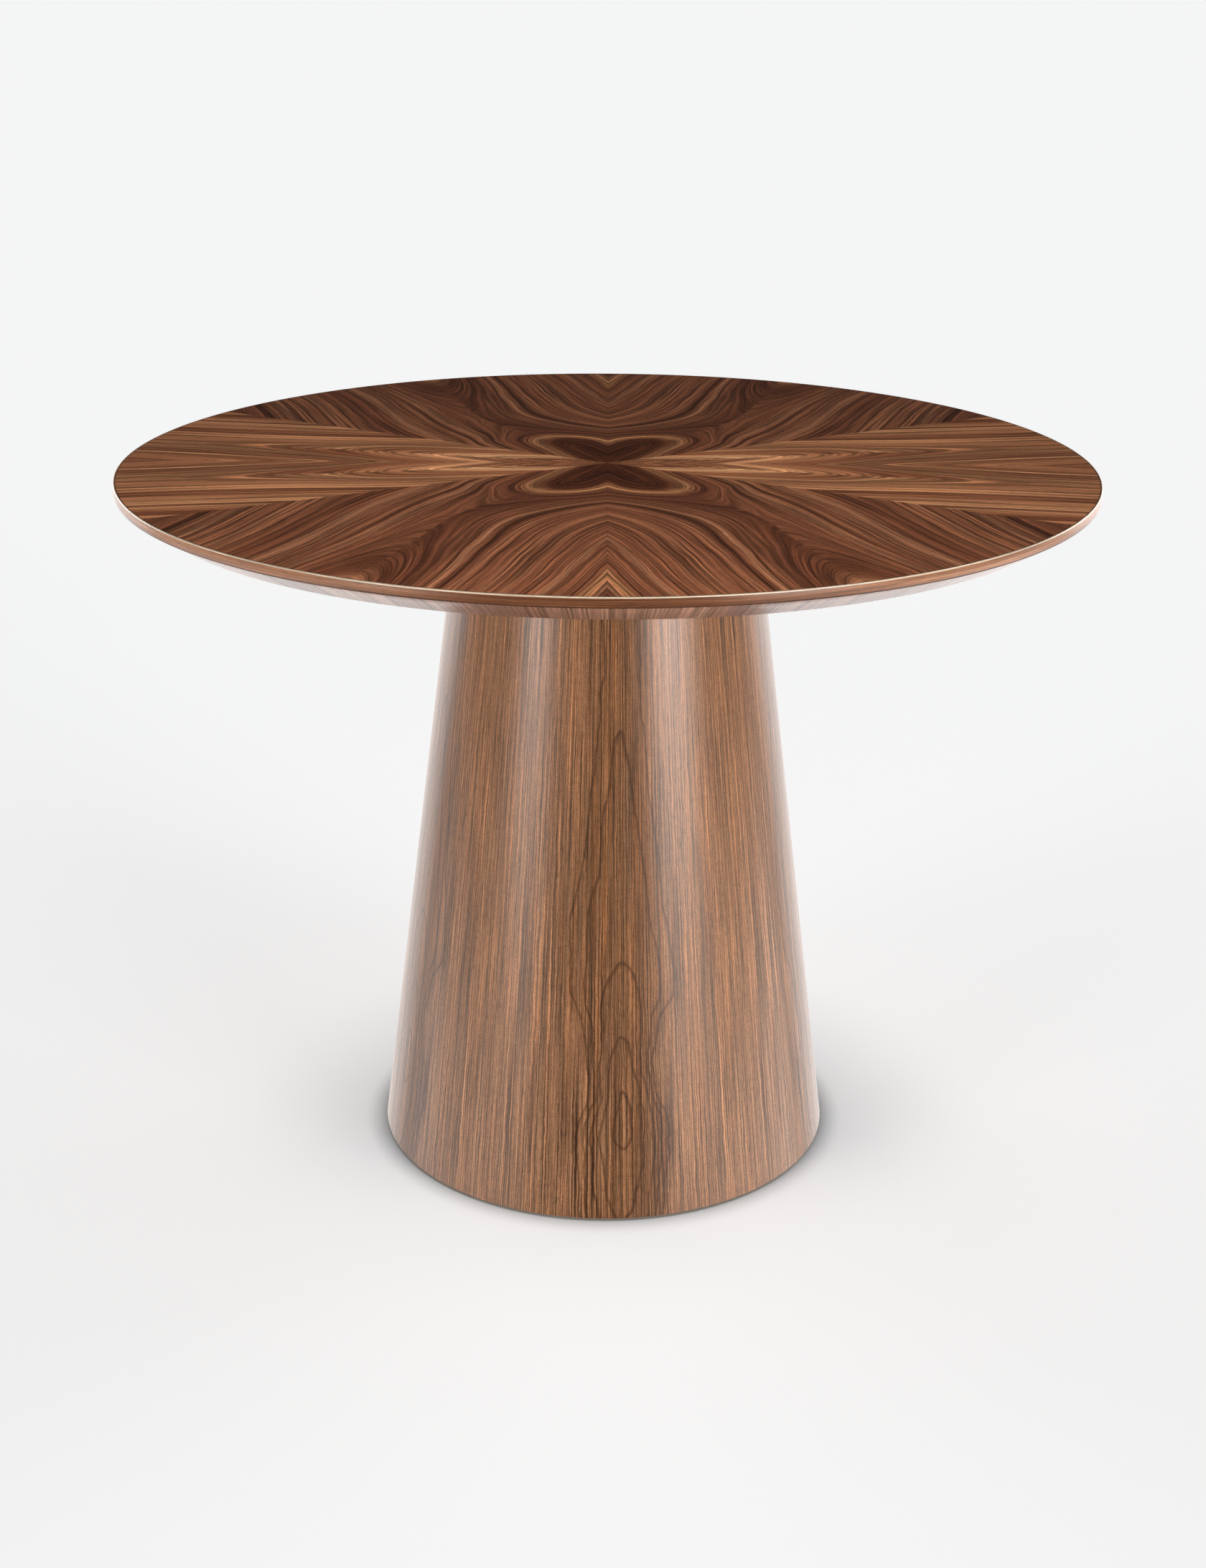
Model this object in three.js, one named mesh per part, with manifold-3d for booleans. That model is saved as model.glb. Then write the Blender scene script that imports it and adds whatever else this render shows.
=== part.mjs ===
// Round pedestal dining table. The top is a veneered disc with a solid edge band
// and an undercut edge. It is bolted down on a hollow cone of bent panels, which
// stands on four levelling feet.
//
// Units are millimetres and +Z is up. The origin is on the floor under the centre
// of the top, and the table's front faces -Y.

import * as THREE from 'three';
import { mergeVertices } from 'three/addons/utils/BufferGeometryUtils.js';
import Module from 'manifold-3d';

const wasm = await Module();
wasm.setup();

// The table as a whole.
const TABLE_HEIGHT = 762;
const TOP_RADIUS = 508;
const TOP_THICKNESS = 29;
const UNDERSIDE_RADIUS = 476;
const EDGE_HEIGHT = 10;
const PEDESTAL_FOOT_RADIUS = 251;
const PEDESTAL_HEAD_RADIUS = 155.5;
const FLOOR_GAP = 3;

// Sheet and board thicknesses.
const VENEER = 0.6;
const EDGE_BAND = 2;
const BENT_PANEL = 12;
const DECK = 25;
const MIDDLE_RING = 18;
const BOTTOM_RING = 25;
const RIB_WIDTH = 18;
const RIB_DEPTH = 45;

// Small clearances that a bench joiner leaves.
const GLUE_LINE = 0.2;
const SEAM = 0.1;
const FITTING_GAP = 0.3;
const RIB_CLEARANCE = 0.6;
const TURNING_CLEARANCE = 0.1;
const SOCKET_CLEARANCE = 0.3;
const ARRIS = 0.5;

// Inside the pedestal.
const MIDDLE_RING_HOLE = 122;
const BOTTOM_RING_HOLE = 150;
const MIDDLE_RING_HEIGHT = 361;
const BOTTOM_RING_HEIGHT = 14;

// M8 hardware.
const THREAD_RADIUS = 4;
const BOLT_CIRCLE = 105;
const BOLT_LENGTH = 42;
const BOLT_HEAD = { flats: 13, height: 5.3 };
const WASHER = { radius: 8, thickness: 1.6 };
const TOP_INSERT = { radius: 6, length: 17 };
const FOOT_INSERT = { radius: 6.5, length: 18, flangeRadius: 9, flange: 1.8 };
const FOOT_CIRCLE = 205;
const PAD = { radius: 20, height: 8, chamfer: 1.5 };
const BALL = { radius: 4, height: 5.2 };
const NECK_RADIUS = 2.6;
const STEM_HEX = { flats: 13, height: 2.8 };
const STEM_TOP = 36;

// Every large curve is cut into facets of this many degrees.
const FACET = 3.75;
const FINE_SIDES = 16;
const BALL_STEPS = 6;

// Angles are in degrees, anticlockwise from +X seen from above.
const QUARTERS = [0, 90, 180, 270];
const DIAGONALS = [45, 135, 225, 315];
const TOP_LEAVES = {
  back_right: [30, 90],
  back_left: [90, 150],
  left_back: [150, 180],
  left_front: [180, 210],
  front_left: [210, 270],
  front_right: [270, 330],
  right_front: [330, 360],
  right_back: [0, 30],
};
const PEDESTAL_LEAVES = 5;
const FIRST_PEDESTAL_SEAM = -120;
const UNDERCUT_SHEETS = 8;

// Heights that follow from the dimensions above.
const UNDERSIDE = TABLE_HEIGHT - TOP_THICKNESS;
const UNDERCUT_TOP = TABLE_HEIGHT - EDGE_HEIGHT;
const DECK_TOP = UNDERSIDE - GLUE_LINE;
const DECK_BOTTOM = DECK_TOP - DECK;
const BOTTOM_RING_TOP = BOTTOM_RING_HEIGHT + BOTTOM_RING;
const CORE_BOTTOM = UNDERSIDE + VENEER + GLUE_LINE;

const radians = THREE.MathUtils.degToRad;

// ---- Materials -------------------------------------------------------------

function material(colour, roughness, metalness = 0) {
  return new THREE.MeshStandardMaterial({ color: colour, roughness, metalness });
}

const MATERIALS = {
  darkWalnut: material(0x6b4532, 0.42),
  goldenWalnut: material(0x9a7149, 0.42),
  solidWalnut: material(0x7d5036, 0.45),
  pedestalWalnut: material(0x9a7454, 0.45),
  undercutWalnut: material(0x8f7062, 0.5),
  fibreboard: material(0xa98c66, 0.85),
  bentPly: material(0xc9a878, 0.8),
  birchPly: material(0xd2b98c, 0.8),
  zincSteel: material(0xb9bcbf, 0.35, 1),
  brass: material(0xb8913f, 0.35, 1),
  nylon: material(0x2b2a29, 0.6),
};

// ---- Solids ----------------------------------------------------------------

function toManifold(geometry) {
  const bare = geometry.clone();
  bare.deleteAttribute('normal');
  bare.deleteAttribute('uv');
  const merged = mergeVertices(bare);
  const mesh = new wasm.Mesh({
    numProp: 3,
    vertProperties: merged.getAttribute('position').array,
    triVerts: new Uint32Array(merged.index.array),
  });
  return new wasm.Manifold(mesh);
}

function toGeometry(solid) {
  const mesh = solid.getMesh();
  const geometry = new THREE.BufferGeometry();
  geometry.setAttribute('position', new THREE.BufferAttribute(mesh.vertProperties, 3));
  geometry.setIndex(new THREE.BufferAttribute(mesh.triVerts, 1));
  geometry.computeVertexNormals();
  return geometry;
}

function cut(geometry, tools) {
  const start = toManifold(geometry);
  return toGeometry(tools.reduce((solid, tool) => solid.subtract(toManifold(tool)), start));
}

function join(first, second) {
  return toGeometry(toManifold(first).add(toManifold(second)));
}

// A full turn of a (radius, height) outline round +Z.
function turned(outline, sides = 360 / FACET) {
  const points = outline.map(([radius, height]) => new THREE.Vector2(radius, height));
  return new THREE.LatheGeometry(points, sides).rotateX(Math.PI / 2);
}

// Part of a turn: a straight bar of the outline is bent round +Z between two angles.
function turnedSector(outline, from, to) {
  const shape = new THREE.Shape(outline.map(([radius, height]) => new THREE.Vector2(radius, height)));
  const steps = Math.round((to - from) / FACET);
  const bar = new THREE.ExtrudeGeometry(shape, { depth: 1, steps, bevelEnabled: false });
  const position = bar.getAttribute('position');
  for (let i = 0; i < position.count; i += 1) {
    const angle = radians(to + (from - to) * position.getZ(i));
    const radius = position.getX(i);
    const height = position.getY(i);
    position.setXYZ(i, radius * Math.cos(angle), radius * Math.sin(angle), height);
  }
  bar.computeVertexNormals();
  return bar;
}

// An upright round bar from one height to another.
function rod(radius, bottom, top, sides = FINE_SIDES) {
  const bar = new THREE.CylinderGeometry(radius, radius, top - bottom, sides).rotateX(Math.PI / 2);
  return bar.translate(0, 0, (top + bottom) / 2);
}

function hexagon(flats, bottom, top) {
  return rod(flats / 2 / Math.cos(Math.PI / 6), bottom, top, 6);
}

// Points of an arc in the (radius, height) plane, measured from the lowest point of
// the circle round to the given angle.
function arcFromBelow(radius, centreHeight, toAngle, steps) {
  return Array.from({ length: steps + 1 }, (_, i) => {
    const angle = radians((toAngle * i) / steps);
    return [radius * Math.sin(angle), centreHeight - radius * Math.cos(angle)];
  });
}

function polar(radius, angle) {
  return [radius * Math.cos(radians(angle)), radius * Math.sin(radians(angle))];
}

// ---- The cone of the pedestal and the slope of the undercut ------------------

// The pedestal's radius at a height, less a depth measured level into the wall.
function coneRadius(height, depth = 0) {
  const share = (height - FLOOR_GAP) / (UNDERSIDE - FLOOR_GAP);
  return THREE.MathUtils.lerp(PEDESTAL_FOOT_RADIUS, PEDESTAL_HEAD_RADIUS, share) - depth;
}

// The undercut's radius at a height, less a depth measured square to its face.
function undercutRadius(height, depth = 0) {
  const run = TOP_RADIUS - UNDERSIDE_RADIUS;
  const rise = UNDERCUT_TOP - UNDERSIDE;
  const share = (height - UNDERSIDE) / rise;
  return UNDERSIDE_RADIUS + run * share - (depth * Math.hypot(run, rise)) / rise;
}

// A band of the cone's wall between two depths, as a closed outline.
function wallOutline(bottom, top, outerDepth, innerDepth) {
  return [
    [coneRadius(bottom, innerDepth), bottom],
    [coneRadius(bottom, outerDepth), bottom],
    [coneRadius(top, outerDepth), top],
    [coneRadius(top, innerDepth), top],
  ];
}

const PANEL_DEPTH = VENEER + GLUE_LINE;
const FRAME_DEPTH = PANEL_DEPTH + BENT_PANEL + GLUE_LINE;

// ---- The top ---------------------------------------------------------------

const CORE_RADIUS = TOP_RADIUS - EDGE_BAND - GLUE_LINE;
const INSERT_HOLE = TOP_INSERT.radius + GLUE_LINE;

function topCore() {
  const top = TABLE_HEIGHT - VENEER - GLUE_LINE;
  const slope = (TOP_RADIUS - UNDERSIDE_RADIUS) / (UNDERCUT_TOP - UNDERSIDE);
  const bottomRadius = undercutRadius(CORE_BOTTOM, PANEL_DEPTH);
  const shoulder = CORE_BOTTOM + (CORE_RADIUS - bottomRadius) / slope;
  const disc = turned([
    [0, CORE_BOTTOM],
    [bottomRadius, CORE_BOTTOM],
    [CORE_RADIUS, shoulder],
    [CORE_RADIUS, top],
    [0, top],
  ]);
  const holeTop = CORE_BOTTOM + TOP_INSERT.length + GLUE_LINE;
  return cut(disc, boltHoles(INSERT_HOLE, UNDERSIDE, holeTop));
}

function boltHoles(radius, bottom, top) {
  return DIAGONALS.map((angle) => rod(radius, bottom, top).translate(...polar(BOLT_CIRCLE, angle), 0));
}

// One leaf of the face veneer. Its two straight edges keep half a seam's width
// back from the lines on which it meets its neighbours.
function topLeaf(from, to) {
  const radius = TOP_RADIUS - EDGE_BAND - FITTING_GAP;
  const halfSeam = SEAM / 2;
  const middle = (from + to) / 2;
  const tip = polar(halfSeam / Math.sin(radians(to - middle)), middle);
  const setBack = THREE.MathUtils.radToDeg(Math.asin(halfSeam / radius));
  const arc = [radians(from + setBack), radians(to - setBack)];
  const leaf = new THREE.Shape();
  leaf.moveTo(...tip);
  leaf.lineTo(...polar(radius, from + setBack));
  leaf.absarc(0, 0, radius, ...arc, false);
  leaf.lineTo(...tip);
  const curveSegments = Math.round((to - from) / FACET);
  const sheet = new THREE.ExtrudeGeometry(leaf, { depth: VENEER, curveSegments, bevelEnabled: false });
  return sheet.translate(0, 0, TABLE_HEIGHT - VENEER);
}

function edgeBand() {
  const bottom = UNDERCUT_TOP + GLUE_LINE;
  const inner = TOP_RADIUS - EDGE_BAND;
  return turned([
    [inner, bottom],
    [TOP_RADIUS, bottom],
    [TOP_RADIUS, TABLE_HEIGHT - ARRIS],
    [TOP_RADIUS - ARRIS, TABLE_HEIGHT],
    [inner, TABLE_HEIGHT],
    [inner, bottom],
  ]);
}

function undercutSheet(from, to) {
  const setBack = THREE.MathUtils.radToDeg(SEAM / 2 / TOP_RADIUS);
  const outline = [
    [undercutRadius(UNDERSIDE, VENEER), UNDERSIDE],
    [undercutRadius(UNDERSIDE), UNDERSIDE],
    [undercutRadius(UNDERCUT_TOP), UNDERCUT_TOP],
    [undercutRadius(UNDERCUT_TOP, VENEER), UNDERCUT_TOP],
  ];
  return turnedSector(outline, from + setBack, to - setBack);
}

function undersideBacker() {
  const radius = undercutRadius(UNDERSIDE, VENEER) - FITTING_GAP;
  const disc = turned([
    [0, UNDERSIDE],
    [radius, UNDERSIDE],
    [radius, UNDERSIDE + VENEER],
    [0, UNDERSIDE + VENEER],
  ]);
  const holes = boltHoles(INSERT_HOLE, UNDERSIDE - VENEER, UNDERSIDE + 2 * VENEER);
  return cut(disc, holes);
}

// ---- The bolts that hold the top down ----------------------------------------

function sleeve(outer, inner, bottom, top) {
  const outline = [[inner, bottom], [outer, bottom], [outer, top], [inner, top], [inner, bottom]];
  return turned(outline, FINE_SIDES);
}

function topInsert() {
  const bore = THREAD_RADIUS + TURNING_CLEARANCE;
  return sleeve(TOP_INSERT.radius, bore, CORE_BOTTOM, CORE_BOTTOM + TOP_INSERT.length);
}

function washerTop() {
  return DECK_BOTTOM - GLUE_LINE;
}

function topWasher() {
  const bore = THREAD_RADIUS + FITTING_GAP;
  return sleeve(WASHER.radius, bore, washerTop() - WASHER.thickness, washerTop());
}

function topBolt() {
  const seat = washerTop() - WASHER.thickness - GLUE_LINE;
  const shank = rod(THREAD_RADIUS, seat - BOLT_HEAD.height / 2, seat + BOLT_LENGTH);
  return join(hexagon(BOLT_HEAD.flats, seat - BOLT_HEAD.height, seat), shank);
}

// ---- The pedestal ------------------------------------------------------------

function pedestalLeaf(from, to) {
  const setBack = THREE.MathUtils.radToDeg(SEAM / 2 / PEDESTAL_FOOT_RADIUS);
  return turnedSector(wallOutline(FLOOR_GAP, DECK_TOP, 0, VENEER), from + setBack, to - setBack);
}

function shellPanel(from, to) {
  const setBack = THREE.MathUtils.radToDeg(FITTING_GAP / 2 / PEDESTAL_FOOT_RADIUS);
  const outline = wallOutline(FLOOR_GAP, DECK_TOP, PANEL_DEPTH, PANEL_DEPTH + BENT_PANEL);
  return turnedSector(outline, from + setBack, to - setBack);
}

function deck() {
  const disc = turned([
    [0, DECK_BOTTOM],
    [coneRadius(DECK_BOTTOM, FRAME_DEPTH), DECK_BOTTOM],
    [coneRadius(DECK_TOP, FRAME_DEPTH), DECK_TOP],
    [0, DECK_TOP],
  ]);
  return cut(disc, boltHoles(THREAD_RADIUS + FITTING_GAP, DECK_BOTTOM - 1, DECK_TOP + 1));
}

// A flat ring whose outer edge is bevelled to lie along the inside of the wall.
function ringBoard(hole, bottom, top) {
  return turned([
    [hole, bottom],
    [coneRadius(bottom, FRAME_DEPTH), bottom],
    [coneRadius(top, FRAME_DEPTH), top],
    [hole, top],
    [hole, bottom],
  ]);
}

// The middle ring is notched at its rim, so that the ribs pass it in one length.
function middleRing() {
  const top = MIDDLE_RING_HEIGHT + MIDDLE_RING;
  const ring = ringBoard(MIDDLE_RING_HOLE, MIDDLE_RING_HEIGHT, top);
  const notchInside = coneRadius(top, FRAME_DEPTH + RIB_CLEARANCE + RIB_DEPTH + FITTING_GAP);
  const notchLength = 2 * RIB_DEPTH;
  const notches = QUARTERS.map((angle) => {
    const box = new THREE.BoxGeometry(notchLength, RIB_WIDTH + 2 * FITTING_GAP, 2 * MIDDLE_RING);
    box.translate(notchInside + notchLength / 2, 0, (MIDDLE_RING_HEIGHT + top) / 2);
    return box.rotateZ(radians(angle));
  });
  return cut(ring, notches);
}

function bottomRing() {
  const ring = ringBoard(BOTTOM_RING_HOLE, BOTTOM_RING_HEIGHT, BOTTOM_RING_TOP);
  const holes = DIAGONALS.map((angle) => {
    const hole = rod(FOOT_INSERT.radius + GLUE_LINE, BOTTOM_RING_HEIGHT - 1, BOTTOM_RING_TOP + 1);
    return hole.translate(...polar(FOOT_CIRCLE, angle), 0);
  });
  return cut(ring, holes);
}

// An upright board behind each joint of the bent panels, tapered to follow them.
function rib() {
  const outer = FRAME_DEPTH + RIB_CLEARANCE;
  const bottom = BOTTOM_RING_TOP + GLUE_LINE;
  const top = DECK_BOTTOM - GLUE_LINE;
  const outline = wallOutline(bottom, top, outer, outer + RIB_DEPTH);
  const shape = new THREE.Shape(outline.map(([radius, height]) => new THREE.Vector2(radius, height)));
  const board = new THREE.ExtrudeGeometry(shape, { depth: RIB_WIDTH, bevelEnabled: false });
  return board.rotateX(Math.PI / 2).translate(0, RIB_WIDTH / 2, 0);
}

// ---- The levelling feet --------------------------------------------------------

const INSERT_BOTTOM = BOTTOM_RING_HEIGHT - GLUE_LINE - FOOT_INSERT.flange;

function footInsert() {
  const bore = THREAD_RADIUS + TURNING_CLEARANCE;
  const flangeTop = INSERT_BOTTOM + FOOT_INSERT.flange;
  const top = flangeTop + FOOT_INSERT.length;
  const outline = [
    [bore, INSERT_BOTTOM],
    [FOOT_INSERT.flangeRadius, INSERT_BOTTOM],
    [FOOT_INSERT.flangeRadius, flangeTop],
    [FOOT_INSERT.radius, flangeTop],
    [FOOT_INSERT.radius, top],
    [bore, top],
    [bore, INSERT_BOTTOM],
  ];
  return turned(outline, FINE_SIDES);
}

// The stem has a ball at its foot, a hexagon for a spanner, and an M8 thread.
function footStem() {
  const hexTop = INSERT_BOTTOM - GLUE_LINE;
  const hexBottom = hexTop - STEM_HEX.height;
  const neckAngle = 180 - THREE.MathUtils.radToDeg(Math.asin(NECK_RADIUS / BALL.radius));
  const pin = turned([
    ...arcFromBelow(BALL.radius, BALL.height, neckAngle, BALL_STEPS),
    [NECK_RADIUS, hexBottom + STEM_HEX.height / 2],
    [THREAD_RADIUS, hexBottom + STEM_HEX.height / 2],
    [THREAD_RADIUS, STEM_TOP - ARRIS],
    [THREAD_RADIUS - ARRIS, STEM_TOP],
    [0, STEM_TOP],
  ], FINE_SIDES);
  return join(pin, hexagon(STEM_HEX.flats, hexBottom, hexTop));
}

// The pad's socket closes in above the ball, so the ball snaps in and stays.
function footPad() {
  const socket = BALL.radius + SOCKET_CLEARANCE;
  const mouthAngle = 180 - THREE.MathUtils.radToDeg(Math.acos((PAD.height - BALL.height) / socket));
  return turned([
    [0, 0],
    [PAD.radius - PAD.chamfer, 0],
    [PAD.radius, PAD.chamfer],
    [PAD.radius, PAD.height - PAD.chamfer],
    [PAD.radius - PAD.chamfer, PAD.height],
    ...arcFromBelow(socket, BALL.height, mouthAngle, BALL_STEPS).reverse(),
  ], FINE_SIDES);
}

// ---- The assembly --------------------------------------------------------------

function piece(name, geometry, pieceMaterial) {
  const mesh = new THREE.Mesh(geometry, pieceMaterial);
  mesh.name = name;
  return mesh;
}

// One piece of hardware on a circle round the table's axis.
function onCircle(mesh, radius, angle) {
  const [x, y] = polar(radius, angle);
  mesh.position.set(x, y, 0);
  return mesh;
}

function tabletop() {
  const group = new THREE.Group();
  group.add(piece('top_core', topCore(), MATERIALS.fibreboard));
  Object.entries(TOP_LEAVES).forEach(([place, [from, to]]) => {
    const isSide = to - from < 60;
    const veneer = isSide ? MATERIALS.goldenWalnut : MATERIALS.darkWalnut;
    group.add(piece(`top_leaf_${place}`, topLeaf(from, to), veneer));
  });
  group.add(piece('edge_band', edgeBand(), MATERIALS.solidWalnut));
  const sheetAngle = 360 / UNDERCUT_SHEETS;
  for (let i = 0; i < UNDERCUT_SHEETS; i += 1) {
    const sheet = undercutSheet(i * sheetAngle, (i + 1) * sheetAngle);
    group.add(piece(`undercut_sheet_${i + 1}`, sheet, MATERIALS.undercutWalnut));
  }
  group.add(piece('underside_backer', undersideBacker(), MATERIALS.undercutWalnut));
  return group;
}

function pedestal() {
  const group = new THREE.Group();
  const leafAngle = 360 / PEDESTAL_LEAVES;
  for (let i = 0; i < PEDESTAL_LEAVES; i += 1) {
    const from = FIRST_PEDESTAL_SEAM + i * leafAngle;
    const leaf = pedestalLeaf(from, from + leafAngle);
    group.add(piece(`pedestal_leaf_${i + 1}`, leaf, MATERIALS.pedestalWalnut));
  }
  QUARTERS.forEach((angle, i) => {
    const board = piece(`rib_${i + 1}`, rib(), MATERIALS.birchPly);
    board.rotation.z = radians(angle);
    group.add(board);
    group.add(piece(`shell_panel_${i + 1}`, shellPanel(angle, angle + 90), MATERIALS.bentPly));
  });
  group.add(piece('deck', deck(), MATERIALS.birchPly));
  group.add(piece('middle_ring', middleRing(), MATERIALS.birchPly));
  group.add(piece('bottom_ring', bottomRing(), MATERIALS.birchPly));
  return group;
}

function hardware() {
  const group = new THREE.Group();
  DIAGONALS.forEach((angle, i) => {
    const number = i + 1;
    const bolt = piece(`top_bolt_${number}`, topBolt(), MATERIALS.zincSteel);
    const washer = piece(`top_washer_${number}`, topWasher(), MATERIALS.zincSteel);
    const insert = piece(`top_insert_${number}`, topInsert(), MATERIALS.brass);
    [bolt, washer, insert].forEach((mesh) => group.add(onCircle(mesh, BOLT_CIRCLE, angle)));
    const socket = piece(`foot_insert_${number}`, footInsert(), MATERIALS.zincSteel);
    const stem = piece(`foot_stem_${number}`, footStem(), MATERIALS.zincSteel);
    const pad = piece(`foot_pad_${number}`, footPad(), MATERIALS.nylon);
    [socket, stem, pad].forEach((mesh) => group.add(onCircle(mesh, FOOT_CIRCLE, angle)));
  });
  return group;
}

const table = new THREE.Group();
table.add(tabletop(), pedestal(), hardware());

export default table;
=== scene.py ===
"""Looks of the round pedestal dining table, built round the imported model.

Lengths are in metres and the front of the table faces -Y.  Places and outer sizes
come from the CAD nodes' boxes.  Edges are only eased inward from them, so the
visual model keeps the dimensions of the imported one.
"""

import math

import bmesh
import bpy
from mathutils import Matrix, Vector


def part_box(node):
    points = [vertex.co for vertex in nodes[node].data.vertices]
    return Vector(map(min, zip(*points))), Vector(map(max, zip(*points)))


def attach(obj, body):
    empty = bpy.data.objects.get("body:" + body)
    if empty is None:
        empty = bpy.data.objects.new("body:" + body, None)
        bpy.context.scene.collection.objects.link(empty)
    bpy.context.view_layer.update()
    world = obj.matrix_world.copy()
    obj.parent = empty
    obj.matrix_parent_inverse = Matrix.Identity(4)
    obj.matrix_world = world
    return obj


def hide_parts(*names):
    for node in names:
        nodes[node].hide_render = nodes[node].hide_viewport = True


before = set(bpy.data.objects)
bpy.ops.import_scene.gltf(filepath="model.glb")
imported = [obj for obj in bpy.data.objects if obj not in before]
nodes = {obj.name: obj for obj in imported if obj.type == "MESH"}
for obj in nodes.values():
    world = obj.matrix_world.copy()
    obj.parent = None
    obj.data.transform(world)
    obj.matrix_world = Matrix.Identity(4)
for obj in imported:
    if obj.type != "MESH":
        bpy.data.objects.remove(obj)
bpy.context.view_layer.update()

MM = 0.001


def low(node, axis=2):
    """The lowest coordinate of a CAD node on one axis, Z if none is given."""
    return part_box(node)[0][axis]


def high(node, axis=2):
    """The highest coordinate of a CAD node on one axis, Z if none is given."""
    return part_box(node)[1][axis]


# ---- Sizes --------------------------------------------------------------------

TOP_RADIUS = high("edge_band", 0)
TOP_FACE = high("edge_band")
BAND_BOTTOM = low("edge_band")
LEAF_RADIUS = high("top_leaf_right_back", 0)
LEAF_BOTTOM = low("top_leaf_right_back")
UNDERSIDE = low("undercut_sheet_1")
UNDERCUT_TOP = high("undercut_sheet_1")
VENEER = TOP_FACE - LEAF_BOTTOM
PEDESTAL_BOTTOM = low("pedestal_leaf_1")
PEDESTAL_TOP = high("pedestal_leaf_1")

# Radii that no box gives: the undercut's lower edge, the cone's foot and its head.
UNDERSIDE_RADIUS = 0.476
FOOT_RADIUS = 0.251
HEAD_RADIUS = 0.1555

# How fast the cone narrows, and the thickness of its veneer measured level.
CONE_SLOPE = (FOOT_RADIUS - HEAD_RADIUS) / (PEDESTAL_TOP - PEDESTAL_BOTTOM)
CONE_VENEER = VENEER * math.hypot(1, CONE_SLOPE)

# The gap between neighbouring leaves of veneer.
SEAM = 0.1 * MM

# The bearing, in degrees, where each leaf of the face starts.
DARK_LEAVES = {
    "back_right": 30,
    "back_left": 90,
    "front_left": 210,
    "front_right": 270,
}
GOLDEN_LEAVES = {
    "right_back": 0,
    "left_back": 150,
    "left_front": 180,
    "right_front": 330,
}
DARK_SWEEP = 60
GOLDEN_SWEEP = 30
UNDERCUT_SHEETS = 8
PEDESTAL_LEAVES = 5
PEDESTAL_START = -120
FITTINGS = 4
PANELS = 4

# Degrees between the rows of a turned surface.
FINE_STEP = 0.5

# Edges sharper than this many degrees stay sharp in the shading.
CREASE = 40


# ---- Shader nodes ---------------------------------------------------------------


def tone(red, green, blue):
    """Display values, 0 to 255, as the linear colour that the shaders take."""

    def linear(value):
        value /= 255
        return value / 12.92 if value <= 0.04045 else ((value + 0.055) / 1.055) ** 2.4

    return (linear(red), linear(green), linear(blue), 1)


class Nodes:
    """A node tree.  Each method adds a node and gives back its output."""

    def __init__(self, tree):
        self.tree = tree

    def add(self, kind, **settings):
        node = self.tree.nodes.new(kind)
        for name, value in settings.items():
            setattr(node, name, value)
        return node

    def plug(self, value, socket):
        if isinstance(value, bpy.types.NodeSocket):
            self.tree.links.new(value, socket)
        else:
            socket.default_value = value

    def calc(self, operation, *values):
        node = self.add("ShaderNodeMath", operation=operation)
        for i, value in enumerate(values):
            self.plug(value, node.inputs[i])
        return node.outputs[0]

    def scaled(self, value, factor, offset=0.0):
        return self.calc("MULTIPLY_ADD", value, factor, offset)

    def split(self, vector):
        node = self.add("ShaderNodeSeparateXYZ")
        self.tree.links.new(vector, node.inputs[0])
        return node.outputs

    def vector(self, x, y, z=0.0):
        node = self.add("ShaderNodeCombineXYZ")
        for i, value in enumerate((x, y, z)):
            self.plug(value, node.inputs[i])
        return node.outputs[0]

    def noise(self, x, y, z=0.0, detail=2.0, roughness=0.5):
        """Smooth noise from 0 to 1; one unit of x, y or z is one feature."""
        node = self.add("ShaderNodeTexNoise")
        self.plug(self.vector(x, y, z), node.inputs["Vector"])
        node.inputs["Scale"].default_value = 1
        node.inputs["Detail"].default_value = detail
        node.inputs["Roughness"].default_value = roughness
        return node.outputs["Fac"]

    def curve(self, value, points):
        """A smooth curve through (input, output) points."""
        node = self.add("ShaderNodeFloatCurve")
        node.mapping.use_clip = False
        line = node.mapping.curves[0]
        for i, point in enumerate(points):
            if i < len(line.points):
                line.points[i].location = point
            else:
                line.points.new(*point)
        node.mapping.update()
        self.plug(value, node.inputs["Value"])
        return node.outputs[0]

    def ramp(self, value, stops):
        """A colour ramp through (position, colour) stops."""
        node = self.add("ShaderNodeValToRGB")
        elements = node.color_ramp.elements
        while len(elements) < len(stops):
            elements.new(1.0)
        for element, (position, colour) in zip(elements, stops):
            element.position = position
            element.color = colour
        self.plug(value, node.inputs["Fac"])
        return node.outputs["Color"]

    def fade(self, value, start, end):
        """0 where the value is at start, 1 where it is at end, smooth between."""
        node = self.add("ShaderNodeMapRange", interpolation_type="SMOOTHSTEP")
        self.plug(value, node.inputs["Value"])
        node.inputs["From Min"].default_value = start
        node.inputs["From Max"].default_value = end
        return node.outputs["Result"]

    def blend(self, amount, first, second, mode="MIX"):
        node = self.add("ShaderNodeMix", data_type="RGBA", blend_type=mode)
        self.plug(amount, node.inputs["Factor"])
        self.plug(first, node.inputs[6])
        self.plug(second, node.inputs[7])
        return node.outputs[2]

    def shade(self, colour, amount):
        """The colour made lighter or darker by a factor near 1."""
        return self.blend(1.0, colour, self.vector(amount, amount, amount), "MULTIPLY")


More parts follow.
